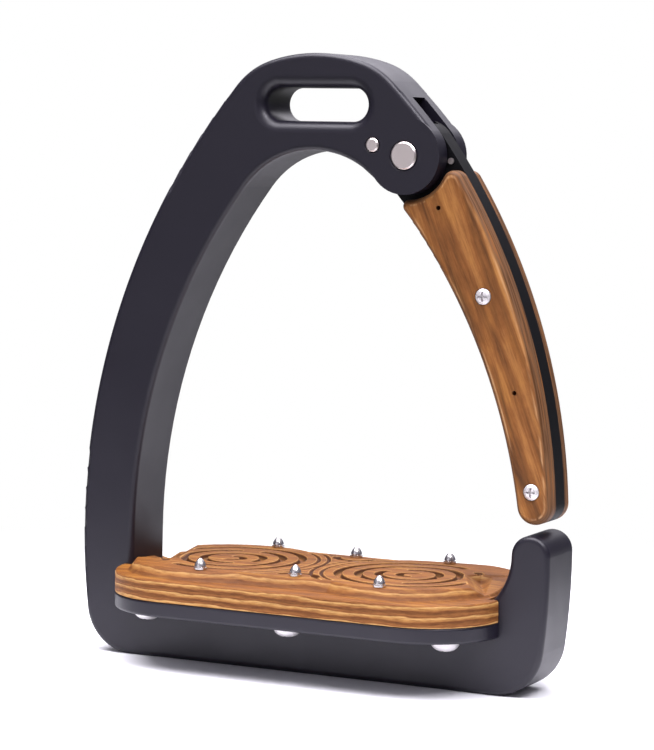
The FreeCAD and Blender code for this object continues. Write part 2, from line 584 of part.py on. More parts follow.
def pan_screw(radius, length, head_radius, head_height):
    """Domed screw: shank below the origin, head above it."""
    side = head_height * 0.45
    crown = [Vector(head_radius, 0, side), Vector(head_radius * 0.78, 0, head_height * 0.84),
             Vector(0, 0, head_height)]
    outline = [Part.LineSegment(Vector(0, 0, -length), Vector(radius, 0, -length)),
               Part.LineSegment(Vector(radius, 0, -length), Vector(radius, 0, 0)),
               Part.LineSegment(Vector(radius, 0, 0), Vector(head_radius, 0, 0)),
               Part.LineSegment(Vector(head_radius, 0, 0), crown[0]),
               Part.Arc(*crown),
               Part.LineSegment(crown[2], Vector(0, 0, -length))]
    face = Part.Face(Part.Wire([s.toShape() for s in outline]))
    screw = face.revolve(Vector(0, 0, 0), Vector(0, 0, 1), 360)
    return one_solid(screw.cut(cross_recess(head_radius, head_height)))


def cheek_screw(z, side):
    """Screw through one cheek into the core, head at the cheek's outer face."""
    seat = ARM_HALF - CHEEK_SCREW_RECESS
    screw = pan_screw(CHEEK_SCREW_RADIUS, seat - CORE_HALF + CHEEK_SCREW_BITE,
                      CHEEK_SCREW_HEAD_RADIUS, CHEEK_SCREW_HEAD_HEIGHT)
    screw.rotate(Vector(0, 0, 0), Vector(1, 0, 0), -90 * side)
    screw.translate(vec(arm_middle(z), side * seat))
    return screw


def pad_screw(x, y):
    """Screw up through the platform into the pad, head under the platform."""
    screw = pan_screw(PAD_SCREW_RADIUS, PLATFORM_THICKNESS + PAD_SCREW_BITE,
                      PAD_SCREW_HEAD_RADIUS, PAD_SCREW_HEAD_HEIGHT)
    screw.rotate(Vector(0, 0, 0), Vector(1, 0, 0), 180)
    screw.translate(Vector(x, y, BASE_HEIGHT))
    return screw


def grip_stud(x, y):
    """Steel stud: shank in the wood, collar on it, groove, and a pointed dome."""
    r, h = STUD_COLLAR_RADIUS, STUD_HEIGHT
    steps = [(0, h), (0, -STUD_SHANK_LENGTH), (STUD_SHANK_RADIUS, -STUD_SHANK_LENGTH),
             (STUD_SHANK_RADIUS, 0), (0.94 * r, 0), (r, 0.05 * h), (r, 0.2 * h), (0.8 * r, 0.24 * h),
             (0.8 * r, 0.3 * h), (0.9 * r, 0.34 * h)]
    dome = [steps[-1], (0.62 * r, 0.72 * h), (0.1 * r, h)]
    edges = [line(a, b) for a, b in zip(steps, steps[1:])]
    edges += [Part.Arc(*map(vec, dome)).toShape(), line(dome[-1], steps[0])]
    face = Part.Face(Part.Wire(edges))
    stud = face.revolve(Vector(0, 0, 0), Vector(0, 0, 1), 360)
    stud.translate(Vector(x, y, PAD_TOP_Z))
    return one_solid(stud)


def carved_arc(centre, radius, start, sweep):
    """Cutter for part of a ring in the pad's top: a channel with sloping sides."""
    half, floor = GROOVE_WIDTH / 2, PAD_TOP_Z - GROOVE_DEPTH
    section = [Vector(radius + across, 0, z) for across, z in (
        (-half, PAD_TOP_Z + 1), (-half, PAD_TOP_Z), (-half / 2, floor),
        (half / 2, floor), (half, PAD_TOP_Z), (half, PAD_TOP_Z + 1))]
    face = Part.Face(Part.makePolygon(section + section[:1]))
    channel = face.revolve(Vector(0, 0, 0), Vector(0, 0, 1), sweep)
    channel.rotate(Vector(0, 0, 0), Vector(0, 0, 1), start)
    channel.translate(Vector(*centre, 0))
    return channel


def carving():
    """Cutters for the broken rings of both discs and a hook round each middle stud."""
    cutters = []
    for turn in range(GROOVE_RINGS):
        radius = GROOVE_PITCH * (turn + 0.5)
        bridge = math.degrees(GROOVE_BRIDGE / radius)
        start = GROOVE_TURN * turn + bridge / 2
        cutters.append(carved_arc((PAD_DISC_OFFSET, 0), radius, start, 360 - bridge))
        cutters.append(carved_arc((-PAD_DISC_OFFSET, 0), radius, start + 180, 360 - bridge))
    for side in (-1, 1):
        start = -90 * side - HOOK_SWEEP / 2
        cutters.append(carved_arc((STUD_SHIFT, side * STUD_MIDDLE_ROW), GROOVE_PITCH, start, HOOK_SWEEP))
    return cutters


def make_pad():
    """Wooden pad: rim plate with a raised, carved field, notched round the leg and the post."""
    pad = tread_slab(PLATFORM_TOP, PAD_RIM_Z, PAD_EDGE_ROUND)
    for side in (-1, 1):
        pad = pad.fuse(Part.makeCone(PAD_DISC_RADIUS, PAD_DISC_RADIUS - PAD_SLOPE_WIDTH, PAD_CROWN_THICKNESS,
                                     Vector(side * PAD_DISC_OFFSET, 0, PAD_RIM_Z)))
    section = [Vector(-PAD_DISC_OFFSET, y, z) for y, z in (
        (-PAD_WAIST, PAD_RIM_Z), (PAD_WAIST, PAD_RIM_Z),
        (PAD_WAIST - PAD_SLOPE_WIDTH, PAD_TOP_Z), (PAD_SLOPE_WIDTH - PAD_WAIST, PAD_TOP_Z))]
    waist = Part.Face(Part.makePolygon(section + section[:1]))
    pad = pad.fuse(waist.extrude(Vector(2 * PAD_DISC_OFFSET, 0, 0)))
    pad = pad.cut(carving())
    notch_start = INNER_HALF_WIDTH - PAD_LEG_GAP
    notch_depth = FRAME_DEPTH + 2 * PAD_LEG_GAP
    for side in (-1, 1):
        x = notch_start if side > 0 else -notch_start - TREAD_LENGTH
        pad = pad.cut(Part.makeBox(TREAD_LENGTH, notch_depth, PAD_TOP_Z,
                                   Vector(x, -notch_depth / 2, BASE_HEIGHT)))
    for x, y in PAD_SCREW_PLACES:
        pad = pad.cut(post_between(x, y, PAD_SCREW_RADIUS + THREAD_FIT,
                                   BASE_HEIGHT, PLATFORM_TOP + PAD_SCREW_BITE))
    for x, y in STUD_PLACES:
        pad = pad.cut(post_between(x, y, STUD_SHANK_RADIUS + THREAD_FIT,
                                   PAD_TOP_Z - STUD_SHANK_LENGTH, PAD_TOP_Z + 1))
    return one_solid(pad)


# ---- closing spring ---------------------------------------------------------------------------
def coil_path(turns):
    """Helix up Z, in quarter turns."""
    edges = []
    start = 0.0
    while start < turns:
        step = min(0.25, turns - start)
        edge = Part.makeHelix(SPRING_PITCH, SPRING_PITCH * step, SPRING_COIL_RADIUS)
        edge.rotate(Vector(0, 0, 0), Vector(0, 0, 1), 360 * start)
        edge.translate(Vector(0, 0, SPRING_PITCH * start))
        edges += edge.Edges
        start += step
    return Part.Wire(edges)


def make_spring():
    """Torsion coil round the hub's boss, with its fixed leg out behind the stop pin.

    The front end of the wire meets the groove that runs to the anchor pin.
    """
    turns = SPRING_WHOLE_TURNS + ((ANCHOR_PIN_ANGLE - SPRING_LEG_ANGLE) % 360) / 360
    start_y = -CORE_HALF + SPRING_WIRE_RADIUS + SPRING_END_GAP
    section = Part.Wire(Part.makeCircle(SPRING_WIRE_RADIUS, Vector(SPRING_COIL_RADIUS, 0, 0),
                                        Vector(0, 1, 0)))
    coil = coil_path(turns).makePipeShell([section], True, True)
    leg = Part.makeCylinder(SPRING_WIRE_RADIUS, SPRING_LEG_LENGTH,
                            Vector(SPRING_COIL_RADIUS, 0, SPRING_PITCH * turns), Vector(1, 0, 0))
    leg.rotate(Vector(0, 0, 0), Vector(0, 0, 1), 360 * turns)
    spring = one_solid(coil.fuse(leg))
    spring.rotate(Vector(0, 0, 0), Vector(1, 0, 0), -90)
    spring.rotate(Vector(0, 0, 0), Vector(0, -1, 0), ANCHOR_PIN_ANGLE)
    spring.translate(vec(PIVOT, start_y))
    return spring


def anchor_pin():
    """Small dowel in the core that holds the spring's moving leg."""
    low = -CORE_HALF - ANCHOR_PIN_PROUD
    return disc(ANCHOR_PIN, ANCHOR_PIN_RADIUS, low, low + ANCHOR_PIN_LENGTH)


def make_parts():
    parts = {
        "frame": make_frame(),
        "pivot_pin": ear_pin(PIVOT, PIVOT_PIN_RADIUS),
        "stop_pin": ear_pin(STOP_PIN, STOP_PIN_RADIUS),
        "washer_front": thrust_washer(-1),
        "washer_rear": thrust_washer(1),
        "arm_core": make_arm_core(),
        "cheek_front": make_cheek(-1),
        "cheek_rear": make_cheek(1),
        "closing_spring": make_spring(),
        "spring_anchor_pin": anchor_pin(),
        "tread_pad": make_pad(),
    }
    for z, level in zip(CHEEK_SCREW_HEIGHTS, ("upper", "lower")):
        for side, face in ((-1, "front"), (1, "rear")):
            parts["cheek_screw_%s_%s" % (face, level)] = cheek_screw(z, side)
    for number, (x, y) in enumerate(STUD_PLACES, 1):
        parts["stud_%d" % number] = grip_stud(x, y)
    for number, (x, y) in enumerate(PAD_SCREW_PLACES, 1):
        parts["pad_screw_%d" % number] = pad_screw(x, y)
    return parts


os.makedirs("parts", exist_ok=True)
for name, shape in make_parts().items():
    shape.exportStep("parts/%s.step" % name)
    print("%-24s volume %10.1f mm3  valid %s" % (name, shape.Volume, shape.isValid()))
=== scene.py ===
"""Safety stirrup iron: finishes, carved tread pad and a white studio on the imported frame.

Metres, +Z up, -Y the front. Each CAD node keeps its own mesh and takes a procedural finish. The
tread pad is the exception: a carved height field stands for it.
"""
from __future__ import annotations

import json
import logging
import math
from dataclasses import dataclass
from enum import Enum

import bpy
import numpy as np
from mathutils import Matrix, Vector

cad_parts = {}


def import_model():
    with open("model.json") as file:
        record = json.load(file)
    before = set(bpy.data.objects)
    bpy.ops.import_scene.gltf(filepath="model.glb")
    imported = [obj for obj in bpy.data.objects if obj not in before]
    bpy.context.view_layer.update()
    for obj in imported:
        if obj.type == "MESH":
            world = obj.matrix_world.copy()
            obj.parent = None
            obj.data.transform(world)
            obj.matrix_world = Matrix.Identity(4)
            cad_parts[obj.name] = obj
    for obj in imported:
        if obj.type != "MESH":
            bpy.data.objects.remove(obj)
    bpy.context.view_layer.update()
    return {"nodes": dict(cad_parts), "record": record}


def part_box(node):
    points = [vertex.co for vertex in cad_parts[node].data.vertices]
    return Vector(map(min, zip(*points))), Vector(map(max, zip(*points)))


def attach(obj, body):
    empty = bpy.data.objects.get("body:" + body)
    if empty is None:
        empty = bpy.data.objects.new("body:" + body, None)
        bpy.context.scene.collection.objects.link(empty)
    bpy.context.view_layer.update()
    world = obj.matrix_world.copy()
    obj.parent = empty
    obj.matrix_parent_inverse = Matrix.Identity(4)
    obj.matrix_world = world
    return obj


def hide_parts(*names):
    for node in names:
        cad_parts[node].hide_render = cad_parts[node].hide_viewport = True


LOG = logging.getLogger("stirrup")
MM = 0.001
STUD_COUNT = 6
# Nearly all of Blender's noise lies between these.
NOISE_RANGE = (0.3, 0.7)
Colour = tuple[float, float, float, float]
Triple = tuple[float, float, float]
Socket = bpy.types.NodeSocket
Tree = bpy.types.NodeTree
WHITE: Colour = (1.0, 1.0, 1.0, 1.0)
FLOOR_PAINT: Colour = (0.93, 0.93, 0.95, 1.0)
# Light from around the object by height, from straight down at 0 to straight up at 1.
SURROUNDINGS: list[tuple[float, Colour]] = [
    (0.0, (0.40, 0.39, 0.45, 1.0)), (0.48, (0.14, 0.135, 0.17, 1.0)),
    (0.70, (0.26, 0.25, 0.30, 1.0)), (1.0, (1.3, 1.28, 1.36, 1.0))]
SURROUNDINGS_STRENGTH = 0.85


def linear(code: str) -> Colour:
    """Turns an sRGB hex code into linear RGBA.

    Args:
        code: six hex digits with a leading #.

    Returns:
        Red, green, blue and an alpha of 1.
    """
    parts = [int(code[i:i + 2], 16) / 255 for i in (1, 3, 5)]
    r, g, b = (c / 12.92 if c <= 0.04045 else ((c + 0.055) / 1.055) ** 2.4 for c in parts)
    return (r, g, b, 1.0)


# ---- shader nodes --------------------------------------------------------------------------------
def add(tree: Tree, kind: str, settings: dict | None = None, **inputs) -> bpy.types.Node:
    """Adds one node, sets its options, then links or sets its inputs.

    Args:
        tree: the node tree.
        kind: Blender's node type name.
        settings: attributes of the node itself.
        inputs: socket names with underscores for spaces, or in0, in1 for sockets by place.

    Returns:
        The new node.
    """
    node = tree.nodes.new(kind)
    for name, value in (settings or {}).items():
        setattr(node, name, value)
    for name, value in inputs.items():
        place = name[2:]
        by_place = name[:2] == "in" and place.isdigit()
        socket = node.inputs[int(place) if by_place else name.replace("_", " ")]
        if isinstance(value, Socket):
            tree.links.new(value, socket)
        else:
            socket.default_value = value
    return node


def ramp(tree: Tree, factor: Socket, stops: list[tuple[float, Colour]]) -> Socket:
    """Adds a colour ramp.

    Args:
        tree: the node tree.
        factor: socket that drives it.
        stops: positions from 0 to 1, each with its colour.

    Returns:
        The colour output.
    """
    node = add(tree, "ShaderNodeValToRGB", Fac=factor)
    elements = node.color_ramp.elements
    while len(elements) < len(stops):
        elements.new(0.5)
    for element, (place, colour) in zip(elements, stops):
        element.position = place
        element.color = colour
    return node.outputs["Color"]


def axis(tree: Tree, vector: Socket, name: str) -> Socket:
    """Adds the "X", "Y" or "Z" of a vector."""
    return add(tree, "ShaderNodeSeparateXYZ", Vector=vector).outputs[name]


def mask(tree: Tree, factor: Socket, stops: list[tuple[float, float]]) -> Socket:
    """Adds a grey ramp that serves as a share from 0 to 1."""
    return ramp(tree, factor, [(place, (share, share, share, 1.0)) for place, share in stops])


def math_node(tree: Tree, operation: str, a: Socket, b: Socket | float = 0.0, c: float = 0.0) -> Socket:
    """Adds one maths node and returns its output."""
    return add(tree, "ShaderNodeMath", {"operation": operation}, in0=a, in1=b, in2=c).outputs[0]


def mix(tree: Tree, factor: Socket | float, a: Socket, b: Socket | Colour, blend: str = "MIX") -> Socket:
    """Blends two colours and returns the result's socket."""
    return add(tree, "ShaderNodeMix", {"data_type": "RGBA", "blend_type": blend},
               in0=factor, in6=a, in7=b).outputs[2]


def object_coordinates(tree: Tree, scale: Triple, turn: float = 0.0) -> Socket:
    """Object coordinates, turned about Y and then stretched.

    Args:
        tree: the node tree.
        scale: repeats per metre along X, Y and Z after the turn.
        turn: radians about Y.

    Returns:
        The vector socket.
    """
    place = add(tree, "ShaderNodeTexCoord").outputs["Object"]
    turned = add(tree, "ShaderNodeMapping", Vector=place, Rotation=(0.0, turn, 0.0)).outputs[0]
    return add(tree, "ShaderNodeMapping", Vector=turned, Scale=scale).outputs[0]


def noise(tree: Tree, scale: Triple, turn: float = 0.0, detail: float = 2.0, roughness: float = 0.5,
          distortion: float = 0.0) -> Socket:
    """Adds noise in object coordinates.

    Args:
        tree: the node tree.
        scale: repeats per metre along X, Y and Z after the turn.
        turn: radians about Y.
        detail: octaves.
        roughness: share that each octave adds to the one before.
        distortion: how far the noise bends itself.

    Returns:
        The noise, nearly all of it inside NOISE_RANGE.
    """
    return add(tree, "ShaderNodeTexNoise", Vector=object_coordinates(tree, scale, turn), Scale=1.0,
               Detail=detail, Roughness=roughness, Distortion=distortion).outputs[0]


def empty_tree(owner: bpy.types.Material | bpy.types.World) -> Tree:
    """Turns on the nodes of a material or world and clears them."""
    owner.use_nodes = True
    owner.node_tree.nodes.clear()
    return owner.node_tree


def new_material(name: str) -> tuple[bpy.types.Material, Tree, bpy.types.Node]:
    """Makes a material with only a Principled shader.

    Args:
        name: the material's name.

    Returns:
        The material, its tree and the shader node.
    """
    material = bpy.data.materials.new(name)
    tree = empty_tree(material)
    shader = add(tree, "ShaderNodeBsdfPrincipled")
    add(tree, "ShaderNodeOutputMaterial", Surface=shader.outputs["BSDF"])
    return material, tree, shader


def new_object(name: str, data: bpy.types.ID) -> bpy.types.Object:
    """Adds an object to the scene."""
    made = bpy.data.objects.new(name, data)
    bpy.context.collection.objects.link(made)
    return made


# ---- finishes ------------------------------------------------------------------------------------
@dataclass(frozen=True)
class MetalFinish:
    """A metal or plastic finish with fine grain.

    Args:
        name: the material's name.
        colour: sRGB hex of the base.
        metallic: 0 for a coat or plastic, 1 for bare metal.
        roughness: middle roughness.
        grain: grain repeats per metre along X, Y and Z.
        grain_depth: bump height in metres.
        mottle: how far the roughness strays either way.
        mottle_scale: repeats per metre of the broad mottling.
        specular: strength of the reflection at normal incidence.
    """

    name: str
    colour: str
    metallic: float
    roughness: float
    grain: Triple = (3000.0, 3000.0, 3000.0)
    grain_depth: float = 1.0e-5
    mottle: float = 0.04
    mottle_scale: Triple = (60.0, 60.0, 60.0)
    specular: float = 0.5

    def build(self) -> bpy.types.Material:
        """Makes the material.

        Returns:
            The material.
        """
        material, tree, shader = new_material(self.name)
        shader.inputs["Base Color"].default_value = linear(self.colour)
        shader.inputs["Metallic"].default_value = self.metallic
        shader.inputs["Specular IOR Level"].default_value = self.specular
        bump = add(tree, "ShaderNodeBump", Height=noise(tree, self.grain), Distance=self.grain_depth,
                   Strength=1.0)
        tree.links.new(bump.outputs[0], shader.inputs["Normal"])
        rough = add(tree, "ShaderNodeMapRange", Value=noise(tree, self.mottle_scale, detail=3.0),
                    From_Min=NOISE_RANGE[0], From_Max=NOISE_RANGE[1],
                    To_Min=self.roughness - self.mottle, To_Max=self.roughness + self.mottle)
        tree.links.new(rough.outputs[0], shader.inputs["Roughness"])
        return material


@dataclass(frozen=True)
class WoodFinish:
    """Oiled wood with long grain, fine pores and paler sanded edges.

    Args:
        name: the material's name.
        dark: sRGB hex of the darkest grain.
        middle: sRGB hex of the main tone.
        light: sRGB hex of the palest grain.
        edge: sRGB hex of worn or sanded edges; the carved pad also uses it for a painted highlight along its
            grooves' rims.
        side: sRGB hex of the middle of the sides' thin layers.
        turn: radians about Y that bring the grain upright.
        stretch: grain repeats per metre across, through and along the grain.
        pore_fineness: how many times finer than the grain the pores are.
        patch_stretch: repeats per metre of the broad lighter and darker patches.
        chip_stretch: repeats per metre of the breaks in a worn edge.
        layer_stretch: repeats per metre of the thin layers on the sides.
        roughness: roughness of the oiled surface.
        specular: strength of the reflection at normal incidence.
        pore_depth: bump height of the pores in metres.
    """

    name: str
    dark: str
    middle: str
    light: str
    edge: str
    side: str
    turn: float
    stretch: Triple
    pore_fineness: float = 8.0
    patch_stretch: Triple = (130.0, 130.0, 60.0)
    chip_stretch: Triple = (700.0, 700.0, 60.0)
    layer_stretch: Triple = (60.0, 1900.0, 60.0)
    roughness: float = 0.58
    specular: float = 0.2
    pore_depth: float = 6.0e-5

    def grain(self, tree: Tree) -> tuple[Socket, Socket]:
        """Adds the grain: long streaks, fine pores, and lighter and darker patches.

        Args:
            tree: the node tree.

        Returns:
            Its colour, and the pores' height.
        """
        broad = noise(tree, self.stretch, self.turn, detail=5.0, roughness=0.6, distortion=0.5)
        tone = ramp(tree, broad, [(0.30, linear(self.dark)), (0.50, linear(self.middle)),
                                  (0.70, linear(self.light))])
        thin = tuple(self.pore_fineness * repeats for repeats in self.stretch)
        pores = noise(tree, thin, self.turn, detail=4.0, roughness=0.7)
        streaks = ramp(tree, pores, [(0.34, (0.62, 0.56, 0.52, 1.0)), (0.56, WHITE)])
        patches = noise(tree, self.patch_stretch, self.turn, detail=6.0, roughness=0.7)
        blotch = ramp(tree, patches, [(0.34, (0.76, 0.73, 0.70, 1.0)), (0.50, (0.98, 0.97, 0.95, 1.0)),
                                      (0.66, (1.18, 1.22, 1.08, 1.0))])
        grained = mix(tree, 0.6, tone, streaks, "MULTIPLY")
        return mix(tree, 1.0, grained, blotch, "MULTIPLY"), pores

    def finish(self, tree: Tree, shader: bpy.types.Node, colour: Socket, pores: Socket) -> None:
        """Sets the colour and the sheen, and lets the pores dent the surface.

        Args:
            tree: the node tree.
            shader: the Principled shader.
            colour: the finished colour.
            pores: the pores' height.
        """
        tree.links.new(colour, shader.inputs["Base Color"])
        shader.inputs["Roughness"].default_value = self.roughness
        shader.inputs["Specular IOR Level"].default_value = self.specular
        bump = add(tree, "ShaderNodeBump", Height=pores, Distance=self.pore_depth, Strength=1.0)
        tree.links.new(bump.outputs[0], shader.inputs["Normal"])

    def build(self) -> bpy.types.Material:
        """Makes the material for a flat cheek whose rounded rim is paler.

        Returns:
            The material.
        """
        material, tree, shader = new_material(self.name)
        colour, pores = self.grain(tree)
        facing = add(tree, "ShaderNodeNewGeometry").outputs["Normal"]
        flat = math_node(tree, "ABSOLUTE", axis(tree, facing, "Y"))
        sides = ramp(tree, noise(tree, self.layer_stretch, detail=3.0),
                     [(0.38, linear(self.dark)), (0.52, linear(self.side)), (0.66, linear(self.middle))])
        body = mix(tree, mask(tree, flat, [(0.80, 1.0), (0.95, 0.0)]), colour, sides)
        worn = mask(tree, flat, [(0.90, 0.0), (0.965, 1.0), (0.985, 0.6), (0.997, 0.0)])
        chips = noise(tree, self.chip_stretch, self.turn, detail=4.0)
        line = math_node(tree, "MULTIPLY", worn, mask(tree, chips, [(0.42, 0.0), (0.70, 1.0)]))
        self.finish(tree, shader, mix(tree, line, body, linear(self.edge)), pores)
        return material


@dataclass(frozen=True)
class PlyFinish(WoodFinish):
    """Wood made of thin layers, with painted shade in its carved grooves and a painted highlight along their
    rims.

    Args:
        glue: sRGB hex of the thin lines between layers.
        groove: sRGB hex of the painted shade on the sides and floor of a carved groove.
        tint: sRGB hex that tints and darkens the flat top.
        layer: thickness of one layer in metres.
        ripple_stretch: repeats per metre of the short waves in a layer.
        wander_stretch: repeats per metre of the long waves in a layer.
        fibre_stretch: repeats per metre of the fibres in a wall.
    """

    glue: str = "#70421F"
    groove: str = "#3E1E0B"
    tint: str = "#ECE0B8"
    layer: float = 1.4 * MM
    ripple_stretch: Triple = (160.0, 160.0, 500.0)
    wander_stretch: Triple = (45.0, 45.0, 200.0)
    fibre_stretch: Triple = (330.0, 330.0, 2600.0)

    def layers(self, tree: Tree) -> Socket:
        """Adds the layers' edges: a pair of a pale and a dark layer, over and over.

        Args:
            tree: the node tree.

        Returns:
            Their colour.
        """
        height = axis(tree, add(tree, "ShaderNodeTexCoord").outputs["Object"], "Z")
        ripple = noise(tree, self.ripple_stretch)
        wander = noise(tree, self.wander_stretch, detail=3.0)
        waves = math_node(tree, "MULTIPLY_ADD", ripple, 0.5 * self.layer, height)
        drift = math_node(tree, "MULTIPLY_ADD", wander, 2.2 * self.layer, waves)
        turn = math_node(tree, "FRACT", math_node(tree, "DIVIDE", drift, 2.0 * self.layer))
        pale = [(0.0, self.glue), (0.05, self.middle), (0.25, self.light), (0.40, self.edge),
                (0.48, self.middle)]
        deep = [(0.52, self.glue), (0.60, self.middle), (0.80, self.dark), (1.0, self.glue)]
        band = ramp(tree, turn, [(place, linear(code)) for place, code in pale + deep])
        fibres = noise(tree, self.fibre_stretch, detail=5.0, roughness=0.65)
        shade = ramp(tree, fibres, [(0.33, (0.58, 0.52, 0.48, 1.0)), (0.58, WHITE)])
        return mix(tree, 1.0, band, shade, "MULTIPLY")

    def build(self) -> bpy.types.Material:
        """Makes the material for a carved, layered piece, with painted shade in the grooves and a painted
        highlight along their rims.

        Returns:
            The material.
        """
        material, tree, shader = new_material(self.name)
        colour, pores = self.grain(tree)
        top = mix(tree, 1.0, colour, linear(self.tint), "MULTIPLY")
        facing = add(tree, "ShaderNodeNewGeometry").outputs["Normal"]
        side = mask(tree, axis(tree, facing, "Z"), [(0.45, 0.95), (0.985, 0.0)])
        layered = mix(tree, side, top, self.layers(tree))
        depth = add(tree, "ShaderNodeAttribute", {"attribute_name": "groove"}).outputs["Fac"]
        # Painted highlight: a thin pale line in the edge colour just inside each groove's rim, where light
        # would catch it.
        painted_rim_highlight = mask(tree, depth, [(0.0, 0.0), (0.03, 0.6), (0.12, 0.0)])
        # Painted shade: the grooves darken towards the groove colour, most on their walls and less on their
        # floors.
        painted_groove_shade = mask(tree, depth, [(0.05, 0.0), (0.35, 0.95), (0.75, 0.80), (1.0, 0.25)])
        with_painted_highlight = mix(tree, painted_rim_highlight, layered, linear(self.edge))
        self.finish(tree, shader, mix(tree, painted_groove_shade, with_painted_highlight, linear(self.groove)), pores)
        return material


class Finish(Enum):
    """Every finish on the object, by the CAD record's material slot."""

    ANODISED_ALUMINIUM = MetalFinish("anodised_aluminium", "#15121E", metallic=0.1, roughness=0.42)
    ANODISED_CORE = MetalFinish("anodised_core", "#07070A", metallic=0.0, roughness=0.55, specular=0.13)
    BRUSHED_PIN = MetalFinish("brushed_pin", "#D9CFCB", metallic=1.0, roughness=0.38,
                              grain=(900.0, 900.0, 7000.0), grain_depth=6.0e-6, mottle=0.06)
    SCREW_STEEL = MetalFinish("screw_steel", "#DEDADB", metallic=0.7, roughness=0.48, grain_depth=2.0e-6)
    POLISHED_STEEL = MetalFinish("polished_steel", "#D6D2D2", metallic=1.0, roughness=0.24,
                                 grain_depth=1.0e-6)
    SPRING_STEEL = MetalFinish("spring_steel", "#8E8E90", metallic=1.0, roughness=0.3)
    WASHER_POLYMER = MetalFinish("washer_polymer", "#1D1D1E", metallic=0.0, roughness=0.5)
    OILED_WOOD = WoodFinish("oiled_wood", dark="#50321A", middle="#87552A", light="#B07A44", edge="#BE9468",
                            side="#6E4E34", turn=math.radians(22.0), stretch=(240.0, 240.0, 18.0))
    CARVED_WOOD = PlyFinish("carved_wood", dark="#6E4320", middle="#925E30", light="#B08248", edge="#CA9F64",
                            side="#6B4A30", turn=math.radians(90.0), stretch=(420.0, 420.0, 26.0))


# ---- tread pad -----------------------------------------------------------------------------------
def smooth(t: np.ndarray) -> np.ndarray:
    """Smoothstep: 3t^2 - 2t^3 with t held between 0 and 1."""
    t = np.clip(t, 0.0, 1.0)
    return t * t * (3.0 - 2.0 * t)


def with_values(line: np.ndarray, values: list[float]) -> np.ndarray:
    """Moves the nearest samples of a line onto the given values.

    Args:
        line: rising samples.
        values: values that the line has to hold.

    Returns:
        The line with those values in it.
    """
    line = line.copy()
    for value in values:
        line[np.argmin(np.abs(line - value))] = value
    return line


def field_mesh(name: str, grid: tuple[np.ndarray, np.ndarray, np.ndarray], floor: float,
               solid: np.ndarray, groove: np.ndarray) -> bpy.types.Mesh:
    """Closes a height field with upright walls and one flat underside.

    Args:
        name: the mesh's name.
        grid: X, Y and top height of each grid point in millimetres.
        floor: height of the underside in millimetres.
        solid: which cells are filled.
        groove: groove strength of each grid point, kept as the attribute "groove", from which the finish
            paints shade into the grooves and a highlight along their rims.

    Returns:
        The mesh in metres, smooth on top.
    """
    count = groove.size
    index = np.arange(count).reshape(groove.shape)
    quads = np.stack([index[:-1, :-1], index[:-1, 1:], index[1:, 1:], index[1:, :-1]], axis=-1)[solid]
    edges = np.concatenate([quads[:, [k, (k + 1) % 4]] for k in range(4)])
    known = set(map(tuple, edges.tolist()))
    onward = {a: b for a, b in known if (b, a) not in known}
    loop = [min(onward)]
    while onward[loop[-1]] != loop[0]:
        loop.append(onward[loop[-1]])
    top = np.stack([values.ravel() for values in grid], axis=1)
    bottom = top[loop].copy()
    bottom[:, 2] = floor
    used = np.concatenate([np.unique(quads), count + np.arange(len(loop))])
    number = np.zeros(count + len(loop), int)
    number[used] = np.arange(len(used))
    base = {vertex: count + i for i, vertex in enumerate(loop)}
    walls = [(b, a, base[a], base[b]) for a, b in zip(loop, loop[1:] + loop[:1])]
    underside = [base[vertex] for vertex in reversed(loop)]
    faces = [*number[quads].tolist(), *number[np.array(walls)].tolist(), number[underside].tolist()]
    mesh = bpy.data.meshes.new(name)
    mesh.from_pydata(np.concatenate([top, bottom])[used] * MM, [], faces)
    mesh.polygons.foreach_set("use_smooth", np.arange(len(faces)) < len(quads))
    tone = np.concatenate([groove.ravel(), np.zeros(len(loop))])[used]
    mesh.attributes.new("groove", "FLOAT", "POINT").data.foreach_set("value", tone.astype(np.float32))
    mesh.update()
    return mesh


